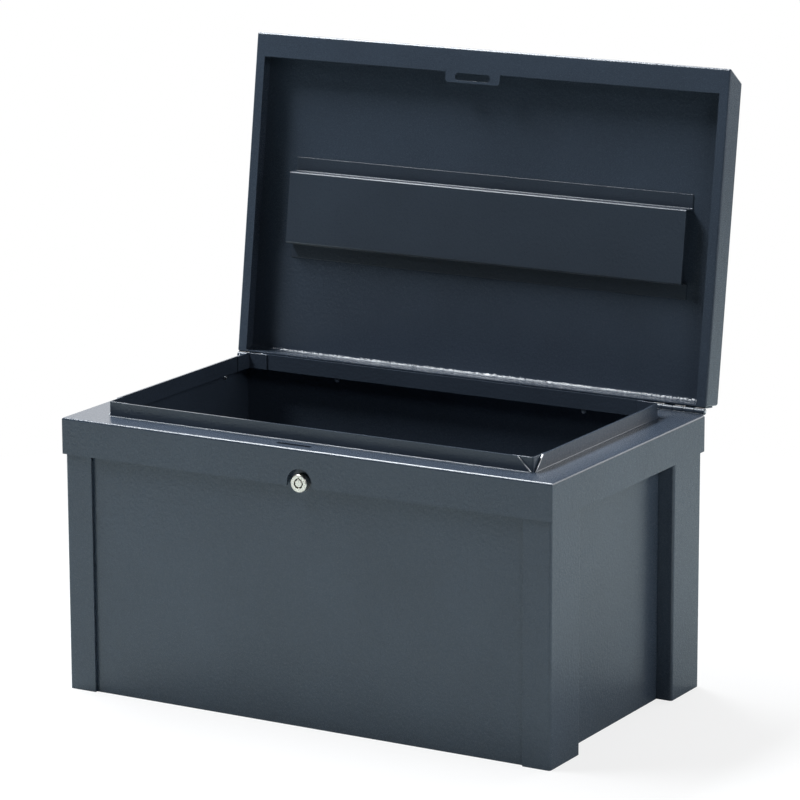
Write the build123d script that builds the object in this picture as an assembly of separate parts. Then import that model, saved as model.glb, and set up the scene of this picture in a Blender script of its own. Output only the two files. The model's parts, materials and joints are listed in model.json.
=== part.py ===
from build123d import *
import os
from math import cos, hypot, radians, sin, sqrt

# A lidded steel box in dark powder coat: a folded cap sits over four corner posts,
# flat panels close the sides, and a tray-shaped lid stands open on a full-width piano hinge.
# A key-operated hook swings up through slots in the deck and in the lid's tab.
# Millimetres. X runs right along the front, Y to the rear, Z up.
# The origin is the middle of the footprint, on the floor.

# The body, measured over the cap
body_width = 610.0
body_depth = 355.0
deck_height = 310.0

# The cap: deck, apron outside, coaming inside
cap_sheet = 2.0
cap_bend = 2.5
apron_height = 41.0
deck_front = 31.5
deck_rear = 31.5
deck_side = 38.5
coaming_height = 16.0
coaming_fillet = 1.2
corner_relief = 3.5

# Angles that close the notched corners of the coaming
gusset_leg = 25.0
gusset_sheet = 1.5
gusset_bend = 2.0

# Corner posts: front leg, side leg and a leg that returns to the side panel
cap_clearance = 0.5
post_sheet = 2.0
post_bend = 3.0
post_front_leg = 33.5
post_side_leg = 66.0
post_return_leg = 19.0
post_hem = 12.0
hem_edge = 1.9

# Panels and floor
panel_sheet = 1.5
floor_flange = 20.0
floor_bend = 2.0

# Weld studs and nuts that draw the panels to the cap and posts
stud_radius = 1.5
stud_clearance = 0.1
stud_drop = 10.0
stud_x = 160.0
stud_y = 118.0
nut_flats = 5.5
nut_height = 2.4
stud_end = 0.6

# The lid: a tray with return lips and a sloped front wall
lid_sheet = 1.5
lid_bend = 2.5
lid_height = 31.5
lid_gap = 1.0
lid_side_margin = 1.0
lid_overhang = 18.0
lid_front_slope = 16.5
lid_side_lip = 12.0
lid_front_lip = 29.0
open_angle = 98.0

# The tab on the lid's front lip
tab_width = 70.0
tab_reach = 12.0
tab_corner = 4.0
tab_slot_length = 45.0
tab_slot_width = 8.0

# The hat-shaped stiffener inside the lid
stiffener_length = 512.5
stiffener_from_hinge = 118.0
stiffener_flange = 16.5
stiffener_face = 84.0
stiffener_depth = 16.0
stiffener_sheet = 1.2
stiffener_bend = 1.5

# The piano hinge
hinge_standoff = 5.0
hinge_rise = 2.4
pin_radius = 1.6
pin_clearance = 0.05
pin_end = 0.5
knuckle_wall = 1.7
knuckle_pitch = 12.7
knuckle_gap = 0.3
barrel_sides = 12
bore_sides = 6
leaf_sheet = 1.5
leaf_width = 14.0
leaf_clearance = 0.5
hinge_end_margin = 1.0

# Stops behind the box that the open lid leans on
stop_width = 30.0
stop_sheet = 3.0
stop_bend = 1.5
stop_x = 180.0
stop_leg = 18.0
stop_seat_start = 19.5
stop_seat_end = 28.0
stop_clearance = 0.3

# The cam lock and its hook
lock_drop = 37.0
lock_head_radius = 10.0
lock_proud = 2.0
lock_rim_chamfer = 0.8
shank_radius = 8.5
shank_flats = 14.0
shank_clearance = 0.1
keyway_depth = 6.0
plug_radius = 5.4
plug_clearance = 0.05
key_post_radius = 4.0
key_post_setback = 0.3
key_notch_width = 1.6
key_notch_reach = 1.1
arch_radius = 15.5
washer_radius = 12.0
washer_sheet = 0.8
lock_nut_flats = 22.0
lock_nut_height = 3.0
thread_clearance = 0.1
hook_line = 16.0
hook_sheet = 2.5
hook_gap = 0.35
hook_over_tab = 0.3
hook_arm_width = 10.0
hook_arm_angle = 65.0
hook_lap = 5.0
hook_rim = 7.0
hub_radius = 9.0
tang_side = 6.0
tang_clearance = 0.05
stem_radius = 2.5
cam_nut_flats = 8.0
cam_nut_height = 3.2
hook_slot_offset = 16.0
deck_slot_length = 43.0
deck_slot_width = 6.0
lock_turn_angle = 90.0

# Places worked out from the sizes above
half_width = body_width / 2
half_depth = body_depth / 2
deck_bottom = deck_height - cap_sheet
apron_bottom = deck_height - apron_height
coaming_x = half_width - deck_side
coaming_front_y = -half_depth + deck_front
coaming_rear_y = half_depth - deck_rear
coaming_top = deck_height + coaming_height
post_x = half_width - cap_sheet - cap_clearance
post_y = half_depth - cap_sheet - cap_clearance
hem_sheet = 2 * post_sheet
panel_y = post_y - hem_sheet
panel_inner_y = panel_y - panel_sheet
side_panel_x = post_x - post_return_leg
side_panel_inner_x = side_panel_x - panel_sheet
lid_half_width = half_width - lid_side_margin
lid_bottom = deck_height + lid_gap
lid_top = lid_bottom + lid_height
lid_front_y = -half_depth - lid_overhang
lid_lip_edge_y = lid_front_y + lid_front_lip
hinge_y = half_depth + hinge_standoff
hinge_z = deck_height + hinge_rise
hinge_axis = Axis((0, hinge_y, hinge_z), (1, 0, 0))
knuckle_radius = pin_radius + pin_clearance + knuckle_wall
hinge_half_length = lid_half_width - hinge_end_margin
lean = open_angle - 90.0
lock_z = deck_height - lock_drop
hook_y = -half_depth + hook_line
tab_top = lid_bottom + lid_sheet
slot_right = tab_slot_length / 2 - hook_slot_offset
hook_tip_x = slot_right + hook_lap
hook_inner_radius = hypot(hook_tip_x, tab_top + hook_over_tab - lock_z)
hook_outer_radius = hook_inner_radius + hook_rim


def block(x_low, x_high, y_low, y_high, z_low, z_high):
    """A rectangular block given by its limits."""
    centre = Pos((x_low + x_high) / 2, (y_low + y_high) / 2, (z_low + z_high) / 2)
    return centre * Box(x_high - x_low, y_high - y_low, z_high - z_low)


def folded(points, sheet, inside_radius):
    """The cross-section of a strip of sheet folded along a centre line."""
    line = FilletPolyline(*points, radius=inside_radius + sheet / 2)
    return trace(line, line_width=sheet)


def along_x(section, length, x_middle=0.0):
    """Runs a section drawn with its axes along Y and Z for a length along X."""
    return Pos(x_middle, 0, 0) * extrude(Plane.YZ * section, amount=length / 2, both=True)


def along_y(section, y_start, y_end):
    """Runs a section drawn with its axes along X and Z from one Y to another."""
    plane = Plane(origin=(0, y_start, 0), x_dir=(1, 0, 0), z_dir=(0, -1, 0))
    return extrude(plane * section, amount=y_start - y_end)


def opened(shape):
    """Swings a lid part from closed to the angle at which the lid stands open."""
    return shape.rotate(hinge_axis, -open_angle)


def open_point(from_axis, depth):
    """Y and Z, with the lid open, of a point up the lid's mouth plane and into its depth."""
    tilt = radians(lean)
    y = hinge_y + from_axis * sin(tilt) + depth * cos(tilt)
    z = hinge_z + from_axis * cos(tilt) - depth * sin(tilt)
    return y, z


def cap():
    """One sheet: a deck with its apron folded down and its coaming folded up from the mouth."""
    outside = block(-half_width, half_width, -half_depth, half_depth, apron_bottom, deck_height)
    outside = fillet(outside.edges().group_by(Axis.Z)[-1], cap_bend)
    under_x = half_width - cap_sheet
    under_y = half_depth - cap_sheet
    under = block(-under_x, under_x, -under_y, under_y, apron_bottom - 1, deck_bottom)
    inner_x = coaming_x - cap_sheet
    front_in = coaming_front_y + cap_sheet
    rear_in = coaming_rear_y - cap_sheet
    mouth = block(-inner_x, inner_x, front_in, rear_in, apron_bottom, coaming_top + 1)
    middle_y = (coaming_rear_y + coaming_front_y) / 2
    half_run = (coaming_rear_y - coaming_front_y) / 2
    sheet = outside - under
    sheet += coaming_wall(coaming_x, coaming_front_y)
    sheet += Rot(0, 0, 180) * coaming_wall(coaming_x, -coaming_rear_y)
    for turn in (90, -90):
        sheet += Pos(0, middle_y, 0) * Rot(0, 0, turn) * coaming_wall(half_run, -coaming_x)
    return sheet - mouth - deck_slot() - lock_arch()


def coaming_wall(half_span, outer_y):
    """An upstand along X whose ends lean back from the corner reliefs, with a coved foot."""
    foot = half_span - corner_relief
    top = foot - coaming_height
    face = Polygon((-foot, deck_bottom), (foot, deck_bottom), (foot, deck_height),
                   (top, coaming_top), (-top, coaming_top), (-foot, deck_height), align=None)
    wall = along_y(face, outer_y, outer_y + cap_sheet)
    radius = coaming_fillet
    cove = Polygon((outer_y - radius, deck_height), (outer_y, deck_height),
                   (outer_y, deck_height + radius), align=None)
    cove -= Pos(outer_y - radius, deck_height + radius) * Circle(radius)
    return wall + along_x(cove, 2 * (foot - radius))


def deck_slot():
    """The round-ended slot that the hook rises through."""
    outline = Pos(-hook_slot_offset, hook_y) * SlotOverall(deck_slot_length, deck_slot_width)
    return Pos(0, 0, deck_bottom - 1) * extrude(outline, amount=cap_sheet + 2)


def lock_arch():
    """The arch in the front apron that leaves room for the key."""
    opening = Pos(0, lock_z) * Circle(arch_radius)
    below = lock_z - apron_bottom + 1
    opening += Pos(0, lock_z - below / 2) * Rectangle(2 * arch_radius, below)
    return along_y(opening, -half_depth - 1, -half_depth + cap_sheet + 1)


def corner_gusset(side, outer_y, inward):
    """A bent angle inside a corner of the coaming, up to the coaming's top edge."""
    half = gusset_sheet / 2
    x = side * (coaming_x - cap_sheet - half)
    y = outer_y + inward * (cap_sheet + half)
    reach = gusset_leg - half
    section = folded([(x - side * reach, y), (x, y), (x, y + inward * reach)],
                     gusset_sheet, gusset_bend - gusset_sheet)
    return Pos(0, 0, deck_bottom) * extrude(section, amount=coaming_top - deck_bottom)


def corner_post():
    """The front left post: a hemmed front leg, a side leg and a return to the side panel."""
    half = post_sheet / 2
    x = -post_x + half
    y = -post_y + half
    return_y = -post_y + post_side_leg - half
    section = folded([(-post_x + post_front_leg, y), (x, y), (x, return_y),
                      (-side_panel_x, return_y)], post_sheet, post_bend - post_sheet)
    hem = Pos(-post_x + post_front_leg - post_hem / 2, -post_y + hem_sheet / 2)
    hem *= Rectangle(post_hem, hem_sheet)
    inner_end = hem.vertices().group_by(Axis.X)[-1]
    section += fillet(inner_end, hem_edge)
    return extrude(section, amount=deck_bottom)


def front_panel():
    """The front sheet, lapped behind the post hems, with the lock's flatted hole."""
    panel = block(-post_x + post_sheet, post_x - post_sheet, -panel_y, -panel_inner_y,
                  0, deck_bottom)
    hole = shank_section(shank_clearance)
    return panel - along_y(hole, -panel_y - 1, -panel_inner_y + 1) - stud_holes()


def rear_panel():
    """The rear sheet, lapped behind the rear post hems."""
    panel = block(-post_x + post_sheet, post_x - post_sheet, panel_inner_y, panel_y,
                  0, deck_bottom)
    return panel - stud_holes()


def side_panel():
    """The right side sheet, set back between the posts' return legs."""
    panel = block(side_panel_inner_x, side_panel_x, -panel_inner_y, panel_inner_y,
                  0, deck_bottom)
    return panel - stud_holes()


def floor_pan():
    """A tray with upturned flanges that closes the bottom between the four panels."""
    pan = block(-side_panel_inner_x, side_panel_inner_x, -panel_inner_y, panel_inner_y,
                0, floor_flange)
    pan = fillet(pan.faces().sort_by(Axis.Z)[0].edges(), floor_bend)
    room_x = side_panel_inner_x - panel_sheet
    room_y = panel_inner_y - panel_sheet
    return pan - block(-room_x, room_x, -room_y, room_y, panel_sheet, floor_flange + 1)


def stud_places():
    """Where each weld stud starts, which way it points inwards, and the panel face it meets."""
    z = deck_bottom - stud_drop + cap_sheet
    places = []
    for side in (-1, 1):
        for end in (-1, 1):
            cap_y = half_depth - cap_sheet
            places.append((Vector(end * stud_x, side * cap_y, z), Vector(0, -side, 0),
                           cap_y - panel_inner_y))
            inner_leg_x = post_x - post_sheet
            places.append((Vector(side * inner_leg_x, end * stud_y, z), Vector(-side, 0, 0),
                           inner_leg_x - side_panel_inner_x))
    return places


def stud_holes():
    """Clearance holes for every stud."""
    hole = Circle(stud_radius + stud_clearance)
    holes = [extrude(Plane(start, z_dir=inward) * hole, amount=reach + 1)
             for start, inward, reach in stud_places()]
    return holes


def assembly_studs():
    """Studs welded to the back of the apron and the posts, ending at the seats of their nuts."""
    return [extrude(Plane(start, z_dir=inward) * Circle(stud_radius), amount=reach)
            for start, inward, reach in stud_places()]


def assembly_nuts():
    """A small closed hexagon nut on each stud, seated on the inside of the panel."""
    hexagon = RegularPolygon(nut_flats / 2, 6, major_radius=False)
    return [extrude(Plane(start + inward * reach, z_dir=inward) * hexagon, amount=nut_height)
            for start, inward, reach in stud_places()]


def lid_envelope(inset):
    """The lid's outline closed on all sides, inset by a distance."""
    low = lid_bottom + inset
    high = lid_top - inset
    lean_per_rise = lid_front_slope / lid_height
    square = inset * hypot(1, lean_per_rise)
    front_low = lid_front_y + square + inset * lean_per_rise
    front_high = lid_front_y + square + (lid_height - inset) * lean_per_rise
    rear = half_depth - inset
    side = Polygon((front_low, low), (rear, low), (rear, high), (front_high, high), align=None)
    return along_x(side, 2 * (lid_half_width - inset))


def lid_shell():
    """The lid's closed outline with its bends rounded, but for the rear wall's open foot."""
    solid = lid_envelope(0)
    rear_foot = solid.edges().group_by(Axis.Z)[0].sort_by(Axis.Y)[-1]
    return fillet([edge for edge in solid.edges() if edge != rear_foot], lid_bend)


def lid_pan():
    """The folded tray with its mouth open to the rear wall, its lips and the slotted tab."""
    lip_x = lid_half_width - lid_side_lip
    mouth = block(-lip_x, lip_x, lid_lip_edge_y, half_depth - lid_sheet,
                  lid_bottom - 1, lid_bottom + lid_sheet + 1)
    pan = lid_shell() - lid_envelope(lid_sheet) - mouth
    tab_middle = lid_lip_edge_y + tab_reach / 2
    tab = Pos(-hook_slot_offset, tab_middle) * Rectangle(tab_width, tab_reach)
    tab = fillet(tab.vertices().group_by(Axis.Y)[-1], tab_corner)
    slot = Pos(-hook_slot_offset, hook_y) * SlotOverall(tab_slot_length, tab_slot_width)
    pan += Pos(0, 0, lid_bottom) * extrude(tab, amount=lid_sheet)
    return pan - Pos(0, 0, lid_bottom - 1) * extrude(slot, amount=lid_sheet + 2)


def lid_stiffener():
    """The hat-shaped channel that runs across the inside of the lid."""
    half = stiffener_sheet / 2
    roof = lid_top - lid_sheet - half
    crest = lid_top - lid_sheet - stiffener_depth + half
    near = hinge_y - stiffener_from_hinge
    web_near = near - stiffener_flange - half
    web_far = web_near - stiffener_face + stiffener_sheet
    far = web_far + half - stiffener_flange - stiffener_sheet
    section = folded([(near, roof), (web_near, roof), (web_near, crest), (web_far, crest),
                      (web_far, roof), (far, roof)], stiffener_sheet, stiffener_bend)
    return along_x(section, stiffener_length)


def knuckle_spans():
    """The X limits of every knuckle from left to right."""
    count = 2 * round(hinge_half_length / knuckle_pitch) - 1
    pitch = 2 * hinge_half_length / count
    starts = [-hinge_half_length + index * pitch for index in range(count)]
    return [(start + knuckle_gap / 2, start + pitch - knuckle_gap / 2) for start in starts]


def hinge_leaf(up, spans):
    """A leaf with its rolled knuckles: up is 1 for the lid's leaf and -1 for the body's."""
    edge = hinge_z + up * (knuckle_radius + leaf_clearance)
    plate = block(-hinge_half_length, hinge_half_length, half_depth, half_depth + leaf_sheet,
                  min(edge, edge + up * leaf_width), max(edge, edge + up * leaf_width))
    outer_z = hinge_z + up * knuckle_radius
    inner_z = outer_z - up * leaf_sheet
    neck = Polygon((half_depth, edge), (half_depth, inner_z), (hinge_y, inner_z),
                   (hinge_y, outer_z), (half_depth + leaf_sheet, outer_z),
                   (half_depth + leaf_sheet, edge), align=None)
    at_axis = Pos(hinge_y, hinge_z)
    bore = RegularPolygon(pin_radius + pin_clearance, bore_sides, major_radius=False)
    barrel = RegularPolygon(knuckle_radius, barrel_sides)
    knuckle = neck + at_axis * barrel - at_axis * bore
    return plate + [along_x(knuckle, right - left, (left + right) / 2) for left, right in spans]


def hinge_pin():
    """The full-length pin, a little proud of both end knuckles."""
    return along_x(Pos(hinge_y, hinge_z) * Circle(pin_radius), 2 * (hinge_half_length + pin_end))


def lid_stop():
    """A bent bracket on the rear apron whose seat lies along the open lid's rear wall."""
    half = stop_sheet / 2
    below = stop_clearance + half
    tilt = radians(lean)
    seat = [open_point(hinge_standoff, depth) for depth in (stop_seat_start, stop_seat_end)]
    seat = [(y - below * sin(tilt), z - below * cos(tilt)) for y, z in seat]
    leg_top = hinge_z - knuckle_radius - leaf_clearance - leaf_width - stop_sheet
    leg_y = half_depth + half
    section = folded([(leg_y, leg_top - stop_leg), (leg_y, leg_top), seat[0], seat[1]],
                     stop_sheet, stop_bend)
    return along_x(section, stop_width)


def shank_section(clearance):
    """A round section with two flats, which keeps the lock from turning in its hole."""
    flats = shank_flats + 2 * clearance
    full = Circle(shank_radius + clearance)
    return Pos(0, lock_z) * (full & Rectangle(flats, 4 * shank_radius))


def lock_body():
    """The lock's fixed barrel: a round head, a flatted shank, the bore and the key notch."""
    face_y = -half_depth - lock_proud
    centre = Pos(0, lock_z)
    head = along_y(centre * Circle(lock_head_radius), face_y, -panel_y)
    head = chamfer(head.faces().sort_by(Axis.Y)[0].edges(), lock_rim_chamfer)
    body = head + along_y(shank_section(0), -panel_y, hook_y - hook_sheet / 2 - hook_gap)
    bore = centre * Circle(plug_radius + plug_clearance)
    body -= along_y(bore, face_y - 1, hook_y)
    notch_top = plug_radius + key_notch_reach
    notch = centre * Pos(0, notch_top / 2) * Rectangle(key_notch_width, notch_top)
    return body - along_y(notch, face_y - 1, face_y + keyway_depth)


def lock_plug():
    """The turning core: a key post in a ring-shaped keyway, then a tang and a threaded stem."""
    face_y = -half_depth - lock_proud
    hook_near = hook_y - hook_sheet / 2
    hook_far = hook_y + hook_sheet / 2
    centre = Pos(0, lock_z)
    plug = along_y(centre * Circle(key_post_radius), face_y + key_post_setback, hook_near)
    plug += along_y(centre * Circle(plug_radius), face_y + keyway_depth, hook_near)
    plug += along_y(centre * Rectangle(tang_side, tang_side), hook_near, hook_far)
    return plug + along_y(centre * Circle(stem_radius), hook_far,
                          hook_far + cam_nut_height + stud_end)


def lock_washer():
    """A plain washer behind the front panel."""
    ring = Circle(washer_radius) - Circle(shank_radius + thread_clearance)
    start = -panel_inner_y
    return along_y(Pos(0, lock_z) * ring, start, start + washer_sheet)


def lock_nut():
    """The large nut that pulls the lock's head against the front panel."""
    ring = RegularPolygon(lock_nut_flats / 2, 6, major_radius=False)
    ring -= Circle(shank_radius + thread_clearance)
    start = -panel_inner_y + washer_sheet
    return along_y(Pos(0, lock_z) * ring, start, start + lock_nut_height)


def hook_cam():
    """The hook, drawn locked: a hub, an arm and a rim concentric with the lock."""
    tip_angle = 90 - degrees_from_top(hook_tip_x, hook_outer_radius)
    arm_angle = 90 + hook_arm_angle
    rim = ring_sector(hook_inner_radius, hook_outer_radius, tip_angle, arm_angle)
    arm = Rot(0, 0, arm_angle) * Pos(hook_outer_radius / 2, 0)
    arm *= Rectangle(hook_outer_radius, hook_arm_width)
    arm &= Circle(hook_outer_radius)
    profile = Circle(hub_radius) + arm + rim
    profile -= Rectangle(tang_side + 2 * tang_clearance, tang_side + 2 * tang_clearance)
    plate = along_y(Pos(0, lock_z) * profile, hook_y - hook_sheet / 2, hook_y + hook_sheet / 2)
    return plate


def degrees_from_top(x, radius):
    """The angle from straight up at which a circle of this radius reaches this x."""
    return Vector(0, 1, 0).get_angle(Vector(x, sqrt(radius ** 2 - x ** 2), 0))


def ring_sector(inner, outer, start_angle, end_angle):
    """A stretch of a flat ring between two angles, measured from X."""
    middle = (inner + outer) / 2
    sweep_angle = end_angle - start_angle
    line = CenterArc((0, 0), middle, start_angle, sweep_angle)
    return trace(line, line_width=outer - inner)


def cam_nut():
    """The small nut that holds the hook on the plug's stem."""
    ring = RegularPolygon(cam_nut_flats / 2, 6, major_radius=False)
    ring -= Circle(stem_radius + thread_clearance)
    start = hook_y + hook_sheet / 2
    return along_y(Pos(0, lock_z) * ring, start, start + cam_nut_height)


def unlocked(shape):
    """Turns a lock part from locked to the place where the key comes out."""
    return shape.rotate(Axis((0, 0, lock_z), (0, 1, 0)), -lock_turn_angle)


def save(name, shape):
    """Writes one node, given a solid or a list of separate solids."""
    if isinstance(shape, list):
        shape = Compound(children=shape)
    export_step(shape, f"parts/{name}.step")


def main():
    os.makedirs("parts", exist_ok=True)

    save("cap", cap())
    for side, side_name in ((-1, "left"), (1, "right")):
        save(f"gusset_front_{side_name}", corner_gusset(side, coaming_front_y, 1))
        save(f"gusset_rear_{side_name}", corner_gusset(side, coaming_rear_y, -1))

    post = corner_post()
    save("post_front_left", post)
    save("post_front_right", mirror(post, about=Plane.YZ))
    save("post_rear_left", mirror(post, about=Plane.XZ))
    save("post_rear_right", mirror(mirror(post, about=Plane.XZ), about=Plane.YZ))
    save("front_panel", front_panel())
    save("rear_panel", rear_panel())
    save("side_panel_right", side_panel())
    save("side_panel_left", mirror(side_panel(), about=Plane.YZ))
    save("floor_pan", floor_pan())
    save("assembly_studs", assembly_studs())
    save("assembly_nuts", assembly_nuts())

    spans = knuckle_spans()
    save("hinge_body_leaf", hinge_leaf(-1, spans[0::2]))
    save("hinge_pin", hinge_pin())
    save("lid_stop_left", Pos(-stop_x, 0, 0) * lid_stop())
    save("lid_stop_right", Pos(stop_x, 0, 0) * lid_stop())
    save("hinge_lid_leaf", opened(hinge_leaf(1, spans[1::2])))
    save("lid_pan", opened(lid_pan()))
    save("lid_stiffener", opened(lid_stiffener()))

    save("lock_body", lock_body())
    save("lock_washer", lock_washer())
    save("lock_nut", lock_nut())
    save("lock_plug", unlocked(lock_plug()))
    save("hook_cam", unlocked(hook_cam()))
    save("cam_nut", unlocked(cam_nut()))


main()
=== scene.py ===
# %% [markdown]
# A steel chest with its lid open, dressed for a studio picture. The chest is made of folded
# sheet: a cap with an apron and a coaming, four corner posts, flat panels, and a tray-shaped lid
# on a piano hinge. The construction model already holds every sheet at its real size, so this
# lesson works on what the eye reads next: the powder coat, the softened edges, the hinge's
# rolled knuckles, the lock and the light.

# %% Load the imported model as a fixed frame
import json
from math import cos, pi, radians, sin, tan

import bmesh
import bpy
from mathutils import Matrix, Vector


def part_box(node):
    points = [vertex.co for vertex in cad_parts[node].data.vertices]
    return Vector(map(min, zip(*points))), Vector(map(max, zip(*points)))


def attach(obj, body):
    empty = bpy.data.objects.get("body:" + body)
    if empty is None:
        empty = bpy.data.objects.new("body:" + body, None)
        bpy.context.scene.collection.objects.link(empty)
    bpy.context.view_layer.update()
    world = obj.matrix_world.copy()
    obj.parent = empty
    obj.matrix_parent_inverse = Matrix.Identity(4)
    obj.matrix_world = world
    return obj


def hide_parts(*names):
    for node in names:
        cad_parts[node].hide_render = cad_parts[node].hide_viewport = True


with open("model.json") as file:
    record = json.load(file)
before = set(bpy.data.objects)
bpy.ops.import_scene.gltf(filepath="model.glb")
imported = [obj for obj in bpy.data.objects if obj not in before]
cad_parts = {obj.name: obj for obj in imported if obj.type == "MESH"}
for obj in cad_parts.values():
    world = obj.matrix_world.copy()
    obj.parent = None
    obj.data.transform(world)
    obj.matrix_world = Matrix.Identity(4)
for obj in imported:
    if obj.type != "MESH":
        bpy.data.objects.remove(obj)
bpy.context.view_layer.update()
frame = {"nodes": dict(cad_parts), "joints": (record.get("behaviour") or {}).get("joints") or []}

millimetre = 0.001
nodes = frame["nodes"]
joints = {joint["name"]: joint for joint in frame["joints"]}

# %% [markdown]
# ## The camera
# The picture was taken from the right of the front and from a little above, far away with a long
# lens, so the chest's edges hardly converge. A camera is placed by the point it stands on and by
# three turns: yaw round the vertical, pitch down, and a very small roll. Building its axes from
# these keeps each turn a plain number that can be changed by itself.

# %% Place the camera
camera_place = Vector((2.24368, -3.82874, 1.35241))
camera_yaw = radians(30.1334)
camera_pitch = radians(12.9962)
camera_roll = radians(-0.1833)
camera_lens = 186.904
sensor_width = 36.0
farthest_seen = 100


def add_object(name, data):
    """A new object that is part of the scene."""
    thing = bpy.data.objects.new(name, data)
    bpy.context.scene.collection.objects.link(thing)
    return thing


def add_camera():
    forward = Vector((-sin(camera_yaw) * cos(camera_pitch), cos(camera_yaw) * cos(camera_pitch),
                      -sin(camera_pitch)))
    right = forward.cross(Vector((0, 0, 1))).normalized()
    up = right.cross(forward)
    axes = Matrix((right, up, -forward)).transposed()
    data = bpy.data.cameras.new("studio_camera")
    data.lens = camera_lens
    data.sensor_width = sensor_width
    data.clip_end = farthest_seen
    camera = add_object("studio_camera", data)
    camera.matrix_world = (Matrix.Translation(camera_place) @ axes.to_4x4()
                           @ Matrix.Rotation(camera_roll, 4, "Z"))
    bpy.context.scene.camera = camera
    print("camera", tuple(round(v, 3) for v in camera_place), "lens", camera_lens)


add_camera()

# %% [markdown]
# ## Small helpers for materials
# Every finish here is a graph of nodes. A few short helpers keep the graphs readable: one starts
# a material and hands back its shader, one adds a node with its settings, and the others add the
# kinds of node that come up again and again.

# %% Helpers that start a graph


def start_material(name):
    """A new material, its node tree and its principled shader."""
    material = bpy.data.materials.new(name)
    material.use_nodes = True
    tree = material.node_tree
    return material, tree, tree.nodes["Principled BSDF"]


def add_node(tree, kind, inputs=(), **settings):
    """A node of a kind, with its settings and the values of its unlinked inputs."""
    node = tree.nodes.new(kind)
    for key, value in settings.items():
        setattr(node, key, value)
    for key, value in dict(inputs).items():
        node.inputs[key].default_value = value
    return node


def place_of_surface(tree):
    """Coordinates that stay with the piece, in metres."""
    return add_node(tree, "ShaderNodeTexCoord").outputs["Object"]


print("helpers that start a graph are ready")

# %% [markdown]
# No real surface is even. Noise gives every point its own value between 0 and 1, a map range
# stretches that to what a socket needs, and the result can blend two colours, set the roughness
# or raise a relief. These four helpers cover all of it.

# %% Helpers for noise, colour and relief


def noise(tree, place, per_metre, detail=2.0, roughness=0.5):
    """Noise whose grains come at a number per metre."""
    node = add_node(tree, "ShaderNodeTexNoise",
                    {"Scale": per_metre, "Detail": detail, "Roughness": roughness})
    tree.links.new(place, node.inputs["Vector"])
    return node.outputs["Fac"]


def spread(tree, value, low, high, to_low, to_high):
    """Stretches the part low..high of a value to to_low..to_high."""
    node = add_node(tree, "ShaderNodeMapRange", {"From Min": low, "From Max": high,
                                                 "To Min": to_low, "To Max": to_high})
    tree.links.new(value, node.inputs["Value"])
    return node.outputs["Result"]


def blend_colours(tree, amount, first, second):
    """A colour between two others."""
    node = add_node(tree, "ShaderNodeMix", data_type="RGBA")
    node.inputs[6].default_value = (*first, 1)
    node.inputs[7].default_value = (*second, 1)
    tree.links.new(amount, node.inputs["Factor"])
    return node.outputs[2]


def bump(tree, height, distance, strength, below=None):
    """A relief of a height in metres, laid over another if one is given."""
    node = add_node(tree, "ShaderNodeBump", {"Distance": distance, "Strength": strength})
    tree.links.new(height, node.inputs["Height"])
    if below:
        tree.links.new(below, node.inputs["Normal"])
    return node.outputs["Normal"]


print("helpers for noise, colour and relief are ready")

# %% [markdown]
# ## Powder coat
# The chest is sprayed with a dark blue-grey powder that is baked on. As it melts it draws into
# an orange-peel surface, with grains about three millimetres across, so that every bright
# reflection breaks up into dots. The colour itself hardly varies. Two reliefs do the work: the
# orange peel, and a finer grit on top of it. A weak, wide change of tone keeps large panels
# alive. Noise nodes were chosen over a painted picture, because they have no seams and stay
# sharp however near the camera comes.

# %% Mix the powder coat
peel_per_metre = 300
grit_per_metre = 1500
grit_height = 0.00006
grit_strength = 0.5
grit_in_tone = 0.5
cloud_per_metre = 9
tone_low, tone_high = 0.45, 1.05
noise_low, noise_high = 0.3, 0.7
coat_refraction = 1.55


def powder_coat(name, dark, light, peel_height, rough_low, rough_high):
    """Sprayed and baked paint: peel_height is how deep its orange peel is, in metres."""
    material, tree, shader = start_material(name)
    place = place_of_surface(tree)
    cloud = noise(tree, place, cloud_per_metre, detail=3)
    grit = noise(tree, place, grit_per_metre, detail=2, roughness=0.7)
    peel = noise(tree, place, peel_per_metre, detail=1.5, roughness=0.45)
    tone = add_node(tree, "ShaderNodeMath", operation="MULTIPLY_ADD")
    tree.links.new(grit, tone.inputs[0])
    tone.inputs[1].default_value = grit_in_tone
    tree.links.new(cloud, tone.inputs[2])
    amount = spread(tree, tone.outputs[0], tone_low, tone_high, 0.0, 1.0)
    tree.links.new(blend_colours(tree, amount, dark, light), shader.inputs["Base Color"])
    tree.links.new(spread(tree, grit, noise_low, noise_high, rough_low, rough_high),
                   shader.inputs["Roughness"])
    relief = bump(tree, peel, peel_height, 1.0)
    tree.links.new(bump(tree, grit, grit_height, grit_strength, relief),
                   shader.inputs["Normal"])
    shader.inputs["IOR"].default_value = coat_refraction
    return material


print("powder coat mixed, one peel grain is", round(1000 / peel_per_metre, 1), "mm")

# %% [markdown]
# The same recipe makes four coats. The box's floor and the lid's stiffener get a darker, rougher
# copy whose colour holds painted shade for the inside of the box. The hinge's rolled eyes are
# smoother than a panel. In a tight inner bend the powder gathers, so the peel is deepest there.

# %% Spray the four coats
coat_dark = (0.0440, 0.0580, 0.0810)
coat_light = (0.0550, 0.0730, 0.1020)
# painted shade: the inside coat takes this share of the outside colours, darkening the inside of
# the box
painted_shade_share = 0.75
peel_on_sheet = 0.00024
peel_on_hinge = 0.00012
peel_in_bend = 0.0008

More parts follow.
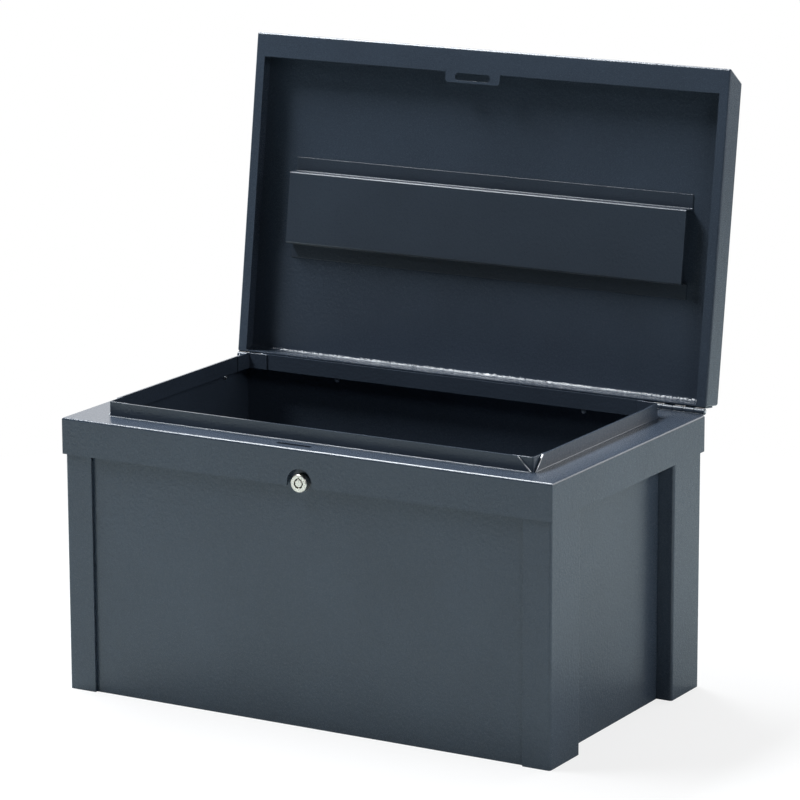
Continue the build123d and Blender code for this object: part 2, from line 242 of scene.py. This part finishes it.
outside_coat = powder_coat("powder_coat_outside", coat_dark, coat_light,
                           peel_on_sheet, 0.22, 0.30)
inside_coat_with_painted_shade = powder_coat("powder_coat_inside_painted_shade", tuple(painted_shade_share * v for v in coat_dark),
                          tuple(painted_shade_share * v for v in coat_light),
                          peel_on_sheet, 0.26, 0.36)
hinge_coat = powder_coat("powder_coat_on_hinge", coat_dark, coat_light,
                         peel_on_hinge, 0.18, 0.24)
bend_coat = powder_coat("powder_coat_in_bend", coat_dark, coat_light,
                        peel_in_bend, 0.16, 0.22)
print("coats:", outside_coat.name, inside_coat_with_painted_shade.name, hinge_coat.name, bend_coat.name)

# %% [markdown]
# ## Bare metals
# The lock's head is nickel plated, and the nuts, studs, hook and washer are zinc plated. Both are
# metals, so the colour sits in the reflection and the roughness carries the character: a satin
# nickel with fine grains, and a duller zinc with larger blotches.

# %% Make the plated metals
blotch_low, blotch_high = 0.35, 0.65
blotch_strength = 0.5


def plated_metal(name, dark, light, blotch_per_metre, rough_low, rough_high, relief_height):
    """A plated metal with blotches in its tone and its gloss."""
    material, tree, shader = start_material(name)
    place = place_of_surface(tree)
    blotch = noise(tree, place, blotch_per_metre, detail=4, roughness=0.6)
    amount = spread(tree, blotch, blotch_low, blotch_high, 0.0, 1.0)
    tree.links.new(blend_colours(tree, amount, dark, light), shader.inputs["Base Color"])
    tree.links.new(spread(tree, blotch, noise_low, noise_high, rough_low, rough_high),
                   shader.inputs["Roughness"])
    tree.links.new(bump(tree, blotch, relief_height, blotch_strength), shader.inputs["Normal"])
    shader.inputs["Metallic"].default_value = 1.0
    return material


zinc = plated_metal("zinc_plate", (0.62, 0.63, 0.65), (0.80, 0.81, 0.83),
                    300, 0.28, 0.42, 0.00004)
nickel = plated_metal("nickel_plate", (0.80, 0.73, 0.65), (0.93, 0.87, 0.78),
                      900, 0.22, 0.36, 0.00003)
print("metals:", zinc.name, nickel.name)

# %% [markdown]
# ## Soft edges
# The folded sheets keep their construction meshes. Each gets a stack of modifiers that softens
# its cut edges: weld the triangles together, dissolve the flat ones into whole faces, bevel only
# the edges that turn sharply, and weight the normals so flats stay flat. A cut edge with half a
# millimetre of rounding catches the light as the real one does. Modifiers were chosen, because
# they leave the mesh itself untouched.

# %% Soften the edges of a piece
edge_rounding = 0.5 * millimetre
edge_segments = 2
sharp_turn = radians(28)
flat_turn = radians(0.6)
merge_distance = 0.000002


def soften(piece, rounding=edge_rounding):
    """Rounds a piece's sharp edges without touching its mesh."""
    for face in piece.data.polygons:
        face.use_smooth = True
    weld = piece.modifiers.new("weld", "WELD")
    weld.merge_threshold = merge_distance
    flats = piece.modifiers.new("whole_faces", "DECIMATE")
    flats.decimate_type = "DISSOLVE"
    flats.angle_limit = flat_turn
    edges = piece.modifiers.new("rounded_edges", "BEVEL")
    edges.width = rounding
    edges.segments = edge_segments
    edges.limit_method = "ANGLE"
    edges.angle_limit = sharp_turn
    edges.harden_normals = True
    even = piece.modifiers.new("even_normals", "WEIGHTED_NORMAL")
    even.keep_sharp = True


print("edges are rounded by", edge_rounding, "m")

# %% [markdown]
# ## Dress the sheets
# Now every node of the construction model gets its finish. Most are powder coated. A short list
# names the few that are bare metal, and a shorter one those whose darker coat is painted shade.

# %% Give each node its finish
metal_nodes = {"assembly_studs": zinc, "assembly_nuts": zinc, "hinge_pin": zinc,
               "lock_washer": zinc, "lock_nut": zinc, "hook_cam": zinc, "cam_nut": zinc,
               "lock_body": nickel, "lock_plug": nickel}
# nodes whose coat is darkened as painted shade
painted_shade_nodes = {"floor_pan", "lid_stiffener"}


def set_finish(piece, material):
    """Puts one material on the whole of a piece."""
    piece.data.materials.clear()
    piece.data.materials.append(material)


for name, node in nodes.items():
    finish = metal_nodes.get(name) or (inside_coat_with_painted_shade if name in painted_shade_nodes else outside_coat)
    set_finish(node, finish)
    soften(node)
print("dressed", len(nodes), "nodes")

# %% [markdown]
# ## Helpers for new pieces
# Some small things are too fine for the construction model: the hinge's rolled eyes, screw
# threads, the lock's pins. They are built here as new meshes. A new piece is told which body it
# moves with and which finish it carries, and sometimes it takes the place of a simpler piece.

# %% Helper that makes a new piece


def make_piece(name, points, faces, material, body, stands_for=(), rounding=0.0):
    """A new mesh that moves with a body and may take the place of construction pieces."""
    mesh = bpy.data.meshes.new(name)
    mesh.from_pydata(points, [], faces)
    outward = bmesh.new()
    outward.from_mesh(mesh)
    bmesh.ops.recalc_face_normals(outward, faces=outward.faces)
    outward.to_mesh(mesh)
    outward.free()
    piece = add_object(name, mesh)
    set_finish(piece, material)
    if rounding:
        soften(piece, rounding)
    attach(piece, body)
    if stands_for:
        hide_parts(*stands_for)
    return piece


print("new pieces can be made")

# %% [markdown]
# Almost every small part of a chest like this is round or has one outline all along its length.
# So two more helpers are enough: one turns a profile round an axis, as a lathe does, and one
# extrudes an outline along X. Both join rings of points with the same ring of faces.

# %% Helpers for turned and extruded shapes


def ring_faces(rows, sides, first=0, capped=(True, True)):
    """Faces between rings of points, with a cap on the first and the last ring."""
    faces = []
    for row in range(rows - 1):
        for side in range(sides):
            low, high = first + row * sides, first + (row + 1) * sides
            after = (side + 1) % sides
            faces.append((low + side, low + after, high + after, high + side))
    if capped[0]:
        faces.append(tuple(first + side for side in reversed(range(sides))))
    if capped[1]:
        faces.append(tuple(first + (rows - 1) * sides + side for side in range(sides)))
    return faces


def add_turned(profile, sides, matrix, points, faces):
    """Adds a turned shape to lists of points and faces: a profile is (radius, height) pairs."""
    first = len(points)
    for radius, height in profile:
        for side in range(sides):
            turn = 2 * pi * side / sides
            points.append(matrix @ Vector((radius * cos(turn), radius * sin(turn), height)))
    faces += ring_faces(len(profile), sides, first)


def add_extruded(outline, x_from, x_to, turn_point, points, faces):
    """Adds an outline extruded along X to lists of points and faces."""
    first = len(points)
    for x in (x_from, x_to):
        points += [turn_point(x, y, z) for y, z in outline]
    faces += ring_faces(2, len(outline), first)


def along(place, direction):
    """A matrix that stands a shape's +Z along a direction at a place."""
    turn = Vector(direction).to_track_quat("Z", "Y")
    return Matrix.Translation(place) @ turn.to_matrix().to_4x4()


print("a ring of 8 sides has", len(ring_faces(2, 8)), "faces with its caps")

# %% [markdown]
# ## The piano hinge
# A piano hinge is two strips of sheet. Tongues cut into one edge of each strip are rolled round
# a pin, and the tongues of one strip sit between those of the other. The measures that place it
# are read from the construction model: where the pin is, how far the strips reach, and how far
# the lid stands open. The tongues are half an inch long.

# %% Measure the hinge
hinge_place = Vector(joints["lid_hinge"]["pos_m"])
open_angle = radians(joints["lid_hinge"]["range_deg"][1])
leaf_low, leaf_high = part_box("hinge_body_leaf")
wall_offset = leaf_low.y - hinge_place.y
eye_radius = leaf_high.y - hinge_place.y
leaf_sheet = 1.5 * millimetre
leaf_foot = leaf_low.z - hinge_place.z
leaf_edge = -eye_radius - 0.5 * millimetre
knuckle_count = 47
knuckle_gap = 0.5 * millimetre
knuckle_pitch = (leaf_high.x - leaf_low.x) / knuckle_count
print(knuckle_count, "knuckles,", round(knuckle_pitch * 1000, 2), "mm apart")

# %% [markdown]
# Each rolled eye is drawn as an outline: up the wall, in under the pin, and round it until the
# sheet's end almost meets its own neck. The lid's strip is the same outline mirrored above the
# pin and then turned by the angle the lid stands open at.

# %% Draw one rolled eye
eye_steps = 20
eye_end = radians(205)


def eye_outline():
    """The outline of a tongue and its rolled eye, as (y, z) from the pin's middle."""
    inner = eye_radius - leaf_sheet
    face = wall_offset + leaf_sheet
    turns = [-pi / 2 + (eye_end + pi / 2) * step / eye_steps for step in range(eye_steps + 1)]
    outline = [(wall_offset, leaf_edge), (face, leaf_edge), (face, -eye_radius)]
    outline += [(eye_radius * cos(turn), eye_radius * sin(turn)) for turn in turns]
    outline += [(inner * cos(turn), inner * sin(turn)) for turn in reversed(turns)]
    return outline + [(wall_offset, -inner)]


def body_point(x, y, z):
    """A point of the box's strip, given from the pin."""
    return hinge_place + Vector((x, y, z))


def lid_point(x, y, z):
    """A point of the mirrored strip, turned open with the lid."""
    up = -z
    return hinge_place + Vector((x, y * cos(open_angle) + up * sin(open_angle),
                                 up * cos(open_angle) - y * sin(open_angle)))


print("an eye's outline has", len(eye_outline()), "points")

# %% [markdown]
# The outline is extruded once for each tongue. Between its own eyes a strip ends in a plain edge
# that leaves room for the other strip's eyes. The box's edge is the lower one, because the lid's
# rear wall comes down beside it when the lid shuts.

# %% Roll both strips of the hinge
box_strip_edge = -1.6 * millimetre
lid_strip_edge = -0.3 * millimetre
hinge_rounding = 0.15 * millimetre


def make_leaf(name, body, first_knuckle, edge_height, turn_point, stands_for):
    """A strip with an eye at every second knuckle and a plain edge between the eyes."""
    points, faces = [], []
    plate = [(wall_offset, leaf_foot), (wall_offset + leaf_sheet, leaf_foot),
             (wall_offset + leaf_sheet, leaf_edge), (wall_offset, leaf_edge)]
    between = [(wall_offset, leaf_edge), (wall_offset + leaf_sheet, leaf_edge),
               (wall_offset + leaf_sheet, edge_height), (wall_offset, edge_height)]
    add_extruded(plate, leaf_low.x, leaf_high.x, turn_point, points, faces)
    for index in range(knuckle_count):
        outline = eye_outline() if index % 2 == first_knuckle else between
        start = leaf_low.x + index * knuckle_pitch
        add_extruded(outline, start + knuckle_gap / 2,
                     start + knuckle_pitch - knuckle_gap / 2, turn_point, points, faces)
    make_piece(name, points, faces, hinge_coat, body, (stands_for,),
               rounding=hinge_rounding)
    print(name, "has", len(faces), "faces before its edges are rounded")


make_leaf("hinge_leaf_on_box", "box", 0, box_strip_edge, body_point, "hinge_body_leaf")
make_leaf("hinge_leaf_on_lid", "lid", 1, lid_strip_edge, lid_point, "hinge_lid_leaf")

# %% [markdown]
# Both strips are spot welded to the sheets behind them. A spot weld leaves a shallow round dent
# with a soft rim, and the paint covers it. The row of them says how the hinge is held. Each is
# a low ring that sits on the strip: a list of shares of its radius and its rise is its profile.

# %% Press the spot welds
weld_count = 12
weld_sides = 20
weld_radius = 2.2 * millimetre
weld_rise = 0.18 * millimetre
weld_profile = [(0.20, 0.15), (0.55, 0.25), (0.80, 1.00), (0.92, 0.85), (1.00, 0.00)]


def weld_spots(name, body, turn_point):
    """A row of spot welds along the middle of a strip."""
    points, faces = [], []
    middle = (leaf_foot + leaf_edge) / 2
    span = leaf_high.x - leaf_low.x
    for index in range(weld_count):
        x = leaf_low.x + span * (index + 0.5) / weld_count
        first = len(points)
        for share, rise in reversed(weld_profile):
            for side in range(weld_sides):
                turn = 2 * pi * side / weld_sides
                points.append(turn_point(x + weld_radius * share * cos(turn),
                                         wall_offset + leaf_sheet + weld_rise * rise,
                                         middle + weld_radius * share * sin(turn)))
        faces += ring_faces(len(weld_profile), weld_sides, first, capped=(False, True))
    make_piece(name, points, faces, hinge_coat, body)


weld_spots("weld_spots_on_box_leaf", "box", body_point)
weld_spots("weld_spots_on_lid_leaf", "lid", lid_point)
print(2 * weld_count, "spot welds")

# %% [markdown]
# ## The bend inside the lid
# Where the lid's rear wall folds out of its panel, the sheet turns through a small radius, and
# the powder gathers there and makes it softer still. The construction model keeps that inner
# corner sharp. A narrow strip with a hollow face fills it. It matters in the picture, because
# a hollow bend gathers the light of a whole softbox into one bright line along the hinge.

# %% Round the lid's inner rear bend
inner_bend_radius = 5.0 * millimetre
lid_sheet = 1.5 * millimetre
bend_steps = 12


def shut(point):
    """A point on the open lid, seen from the pin with the lid turned shut."""
    x, y, z = point - hinge_place
    return Vector((x, y * cos(open_angle) - z * sin(open_angle),
                   z * cos(open_angle) + y * sin(open_angle)))


def shut_lid_point(x, y, z):
    """The open place of a point given on the shut lid."""
    return lid_point(x, y, -z)


def inner_bend():
    """A strip whose hollow face rounds the corner between the lid's rear wall and its panel."""
    shut_points = [shut(vertex.co) for vertex in nodes["lid_pan"].data.vertices]
    wall = max(point.y for point in shut_points) - lid_sheet
    panel = max(point.z for point in shut_points) - lid_sheet
    end = max(point.x for point in shut_points) - lid_sheet
    outline = [(wall, panel)]
    for step in range(bend_steps + 1):
        turn = pi / 2 * step / bend_steps
        outline.append((wall - inner_bend_radius * (1 - cos(turn)),
                        panel - inner_bend_radius * (1 - sin(turn))))
    points, faces = [], []
    add_extruded(outline, -end, end, shut_lid_point, points, faces)
    make_piece("lid_inner_bend", points, faces, bend_coat, "lid")
    print("inner bend", round(2 * end, 3), "m long")


inner_bend()

# %% [markdown]
# ## Nuts on threaded studs
# The panels hang on studs, and each stud carries a small nut on the inside of the box. A real
# nut has its corners turned off at thirty degrees. That cut meets each flat in a curve, and the
# curve is what makes a nut look like a nut. At every angle the hexagon's own radius says how far
# down the cut reaches, so the curve comes out by itself.

# %% Shape a nut
nut_thread_radius = 1.5 * millimetre
nut_sides = 48
nut_flat = pi / 3
nut_chamfer = pi / 6
chamfer_start = 0.97


def add_nut(flats, height, matrix, points, faces):
    """Adds a hexagon nut with an open bore, whose outer corners are turned off."""
    inner_flat = flats / 2
    bore = nut_thread_radius
    face_radius = chamfer_start * inner_flat
    rows = [[], [], [], [], []]
    for side in range(nut_sides):
        turn = 2 * pi * side / nut_sides
        from_flat = (turn + nut_flat / 2) % nut_flat - nut_flat / 2
        radius = inner_flat / cos(from_flat)
        cut = height - (radius - face_radius) * tan(nut_chamfer)
        for row, (r, z) in enumerate(((bore, 0), (radius, 0), (radius, cut),
                                      (face_radius, height), (bore, height))):
            rows[row].append(matrix @ Vector((r * cos(turn), r * sin(turn), z)))
    first = len(points)
    points += [point for row in rows for point in row]
    faces += ring_faces(len(rows), nut_sides, first, capped=(False, False))
    last = first + (len(rows) - 1) * nut_sides
    for side in range(nut_sides):
        after = (side + 1) % nut_sides
        faces.append((last + side, last + after, first + after, first + side))


print("a nut's chamfer is", round(nut_chamfer * 180 / pi), "degrees")

# %% [markdown]
# Each stud ends in a thread that shows above its nut. Seen this small, a thread can be a stack of
# rings: a ridge, a groove, a ridge. Nobody can tell that it doesn't climb.

# %% Cut a thread
thread_pitch = 0.5 * millimetre
thread_depth = 0.28 * millimetre
ridge_from, ridge_to = 0.4, 0.6
thread_tip = 0.6


def thread_profile(radius, length):
    """Ridges of a thread from the foot to a chamfered tip."""
    profile = [(radius - thread_depth, 0)]
    ridges = int(length / thread_pitch)
    for ridge in range(ridges):
        foot = ridge * thread_pitch
        profile += [(radius, foot + ridge_from * thread_pitch),
                    (radius, foot + ridge_to * thread_pitch),
                    (radius - thread_depth, foot + thread_pitch)]
    return profile + [(thread_tip * radius, ridges * thread_pitch + 0.3 * thread_depth)]


print("a millimetre of thread has", len(thread_profile(nut_thread_radius, millimetre)), "rings")

# %% [markdown]
# The construction model holds plain nuts, all in one node. Sorting its points into groups that
# stand apart gives one box for each nut. The box's thin side says which way the nut faces, and
# a detailed nut of the same size takes its place, with the stud's end coming out of it.

# %% Put the nuts on their studs
nut_spacing = 30 * millimetre
stud_showing = 1.4 * millimetre
stud_sides = 24
nut_rounding = 0.1 * millimetre


def piece_boxes(node, apart):
    """The boxes of a node's separate solids, which stand at least a distance apart."""
    groups = []
    for vertex in node.data.vertices:
        for group in groups:
            if (group[0] - vertex.co).length < apart:
                group.append(vertex.co.copy())
                break
        else:
            groups.append([vertex.co.copy()])
    return [(Vector([min(p[i] for p in group) for i in range(3)]),
             Vector([max(p[i] for p in group) for i in range(3)])) for group in groups]


def nuts_and_studs():
    """A detailed nut and a stud's end at the place of every plain nut."""
    nut_points, nut_faces, stud_points, stud_faces = [], [], [], []
    boxes = piece_boxes(nodes["assembly_nuts"], nut_spacing)
    for low, high in boxes:
        size = high - low
        axis = min((0, 1), key=lambda i: size[i])
        middle = (low + high) / 2
        inward = Vector((0, 0, 0))
        inward[axis] = -1 if middle[axis] > 0 else 1
        seat = middle - inward * size[axis] / 2
        matrix = along(seat, inward)
        flats = min(size[2], size[1 - axis])
        add_nut(flats, size[axis], matrix, nut_points, nut_faces)
        profile = thread_profile(nut_thread_radius, size[axis] + stud_showing)
        add_turned(profile, stud_sides, matrix, stud_points, stud_faces)
    make_piece("nuts_on_panels", nut_points, nut_faces, zinc, "box",
               ("assembly_nuts",), rounding=nut_rounding)
    make_piece("threaded_stud_ends", stud_points, stud_faces, zinc, "box")
    print(len(boxes), "nuts with studs")


nuts_and_studs()

# %% [markdown]
# ## The lock's pins
# The key of this kind of lock is a tube. It goes into the ring-shaped keyway and pushes seven
# spring pins, which stand round the post in the middle. They end a little below the face, so
# they show as small bright dots in the dark ring.

# %% Set the pins in the keyway
lock_low, lock_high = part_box("lock_body")
plug_low, plug_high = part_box("lock_plug")
lock_place = Vector(joints["lock_turn"]["pos_m"])
pin_count = 7
pin_sides = 16
pin_circle = 4.72 * millimetre
pin_radius = 0.52 * millimetre
pin_below_face = 1.6 * millimetre
keyway_depth = 6.0 * millimetre


def keyway_pins():
    """Seven pins with chamfered tips, evenly round the keyway."""
    points, faces = [], []
    length = keyway_depth - pin_below_face
    profile = [(pin_radius, 0), (pin_radius, length - 0.3 * pin_radius),
               (0.7 * pin_radius, length)]
    for index in range(pin_count):
        turn = pi / 2 + 2 * pi * (index + 0.5) / pin_count
        foot = Vector((lock_place.x + pin_circle * cos(turn), lock_low.y + keyway_depth,
                       lock_place.z + pin_circle * sin(turn)))
        add_turned(profile, pin_sides, along(foot, (0, -1, 0)), points, faces)
    make_piece("lock_pins", points, faces, nickel, "lock_core")


keyway_pins()
print("lock", round(lock_high.y - lock_low.y, 4), "m deep, plug",
      round(plug_high.y - plug_low.y, 4), "m, with", pin_count, "pins")

# %% [markdown]
# ## Painted highlights on the cut edges at the corners
# The coaming's four walls are folded up from one sheet, so each corner is cut out in a V before
# folding. At two of the corners a painted highlight runs as a fine bright line down both arms of
# the V: a thin round bead of bright zinc stands in for the light that the painted cut edge
# catches. Each bead is laid on the cut's outer edge, from the deck up to the coaming's top.

# %% Make a bead along an edge
bead_radius = 0.75 * millimetre
bead_sides = 10
bead_tip = 0.4
bead_round = 0.5


def add_bead(start, end, points, faces):
    """Adds a thin round bead with rounded ends between two points."""
    length = (end - start).length
    profile = [(bead_tip * bead_radius, 0), (bead_radius, bead_round * bead_radius),
               (bead_radius, length - bead_round * bead_radius),
               (bead_tip * bead_radius, length)]
    add_turned(profile, bead_sides, along(start, end - start), points, faces)


print("beads are", 2 * bead_radius, "m thick")

# %% [markdown]
# The bent angle inside each corner tells where the corner is: the cap's sheet lies round it. Each
# arm of the V starts a little way along its wall and leans away from the corner at 45 degrees, so
# at the top it has moved by as much as it has climbed.

# %% Lay the bright edges
cap_sheet = 2 * millimetre
corner_relief = 3.5 * millimetre
bead_inset = 0.25 * millimetre
deck_level = 310 * millimetre


def highlight_beads_of_corner(side, end, gusset, points, faces):
    """Both arms of one corner's V: side is -1 or 1 along X and end is -1 or 1 along Y."""
    low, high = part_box(gusset)
    corner_x = (high.x if side > 0 else low.x) + side * cap_sheet
    corner_y = (high.y if end > 0 else low.y) + end * cap_sheet
    foot = corner_relief + bead_inset
    top = foot + high.z - deck_level
    for x_share, y_share in ((1, 0), (0, 1)):
        ends = []
        for reach, height in ((foot, deck_level), (top, high.z)):
            ends.append(Vector((corner_x - side * (x_share * reach + y_share * bead_inset),
                                corner_y - end * (y_share * reach + x_share * bead_inset),
                                height)))
        add_bead(ends[0], ends[1], points, faces)


def lay_painted_highlight_beads():
    """One piece that holds the painted highlight lines of two corners."""
    points, faces = [], []
    highlight_beads_of_corner(1, -1, "gusset_front_right", points, faces)
    highlight_beads_of_corner(-1, 1, "gusset_rear_left", points, faces)
    # painted highlight: bright zinc beads stand in for the light caught on the painted cut edges
    piece = make_piece("corner_edges_painted_highlight", points, faces, zinc, "box")
    for face in piece.data.polygons:
        face.use_smooth = True
    print("bright edges laid with", len(faces), "faces")


lay_painted_highlight_beads()

# %% [markdown]
# ## The floor
# The chest stands in a white studio, and to the camera the floor is white. It keeps a soft
# shadow, because a share of it stays an ordinary diffuse surface that fades out away from the
# chest. All other rays meet a mid-grey floor instead, and that is what the paint mirrors and
# what lights the chest from below. A light path node tells the two kinds of ray apart.

# %% Lay the floor
floor_size = 14.0
floor_grey = (0.53, 0.59, 0.58, 1)
shadow_share = 0.22
shadow_reach = (0.45, 1.2)


def camera_sees(tree, others, camera, end):
    """One surface for the camera's rays and another for all other rays."""
    seen = add_node(tree, "ShaderNodeLightPath")
    choose = add_node(tree, "ShaderNodeMixShader")
    tree.links.new(seen.outputs["Is Camera Ray"], choose.inputs["Fac"])
    tree.links.new(others.outputs[0], choose.inputs[1])
    tree.links.new(camera.outputs[0], choose.inputs[2])
    tree.links.new(choose.outputs[0], tree.nodes[end].inputs["Surface"])


def shadow_paper(tree):
    """White that glows, mixed near the chest with a surface that can hold a shadow."""
    white = add_node(tree, "ShaderNodeEmission", {"Color": (1, 1, 1, 1), "Strength": 1.0})
    shaded = add_node(tree, "ShaderNodeBsdfDiffuse", {"Color": (0.97, 0.97, 0.97, 1)})
    away = add_node(tree, "ShaderNodeVectorMath", operation="LENGTH")
    tree.links.new(place_of_surface(tree), away.inputs[0])
    share = spread(tree, away.outputs["Value"], *shadow_reach, shadow_share, 0.0)
    paper = add_node(tree, "ShaderNodeMixShader")
    tree.links.new(share, paper.inputs["Fac"])
    tree.links.new(white.outputs[0], paper.inputs[1])
    tree.links.new(shaded.outputs[0], paper.inputs[2])
    return paper


def add_floor():
    half = floor_size / 2
    corners = [(-half, -half, 0), (half, -half, 0), (half, half, 0), (-half, half, 0)]
    mesh = bpy.data.meshes.new("studio_floor")
    mesh.from_pydata(corners, [], [(0, 1, 2, 3)])
    floor = add_object("studio_floor", mesh)
    material, tree, shader = start_material("white_floor")
    shader.inputs["Base Color"].default_value = floor_grey
    shader.inputs["Roughness"].default_value = 0.9
    shader.inputs["Specular IOR Level"].default_value = 0.0
    camera_sees(tree, shader, shadow_paper(tree), "Material Output")
    mesh.materials.append(material)


add_floor()
print("floor laid,", floor_size, "m wide")

# %% [markdown]
# ## The room
# To the camera the world is white too. For everything else it is a dim room that is bright
# behind the chest and dark behind the camera: the paint on the deck mirrors the bright backdrop
# at a low angle, and the lid's inside mirrors the dark. The direction's Y, with its negative half
# cut off and then squared, gives that smooth glow.

# %% Build the room
backdrop_brightness = 2.1
backdrop_falloff = 2.0
bpy.context.scene.view_settings.view_transform = "Standard"


def add_room():
    world = bpy.data.worlds.new("studio_room")
    world.use_nodes = True
    bpy.context.scene.world = world
    tree = world.node_tree
    direction = add_node(tree, "ShaderNodeTexCoord").outputs["Generated"]
    parts = add_node(tree, "ShaderNodeSeparateXYZ")
    tree.links.new(direction, parts.inputs[0])
    behind = add_node(tree, "ShaderNodeMath", operation="MAXIMUM")
    tree.links.new(parts.outputs["Y"], behind.inputs[0])
    behind.inputs[1].default_value = 0.0
    level = add_node(tree, "ShaderNodeMath", operation="POWER")
    tree.links.new(behind.outputs[0], level.inputs[0])
    level.inputs[1].default_value = backdrop_falloff
    room = tree.nodes["Background"]
    room.inputs["Strength"].default_value = backdrop_brightness
    tree.links.new(level.outputs[0], room.inputs["Color"])
    white = add_node(tree, "ShaderNodeBackground", {"Color": (1, 1, 1, 1), "Strength": 1.0})
    camera_sees(tree, room, white, "World Output")


add_room()
print("room built")

# %% [markdown]
# ## The softboxes
# Paint this dark shows little of its own colour, so the lamps are placed for what they draw in
# it. The long one hangs overhead, and every bend that runs from left to right gathers it into
# a bright line. The rear one puts a weak sheen on the deck, and the right one lights the side.
# The small one in front picks out the right-hand edges. Brightness is given for the softbox's
# own surface, so a lamp can change its size without changing how bright its mirror image is.

# %% Hang the softboxes
daylight = (0.92, 0.96, 1.0)
lamp_target = Vector((0, 0, 0.3))
softboxes = [("long_softbox", (-1.55, 0.10, 3.08), 3.4, 0.9, 23.0),
             ("rear_softbox", (1.14, 2.5, 1.4), 1.2, 1.2, 2.0),
             ("right_softbox", (2.4, 0.2, 1.0), 1.2, 1.2, 2.6),
             ("edge_softbox", (2.2, -1.45, 1.7), 0.8, 0.35, 10.0)]


def add_softbox(name, place, width, height, brightness):
    """A lamp that faces the chest: brightness 1 is as bright as white paper."""
    lamp = bpy.data.lights.new(name, "AREA")
    lamp.color = daylight
    lamp.shape = "RECTANGLE"
    lamp.size = width
    lamp.size_y = height
    lamp.energy = pi * width * height * brightness
    holder = add_object(name, lamp)
    holder.location = place
    towards_chest = lamp_target - Vector(place)
    holder.rotation_euler = towards_chest.to_track_quat("-Z", "Y").to_euler()
    print(name, round(lamp.energy, 1), "W")


for softbox in softboxes:
    add_softbox(*softbox)
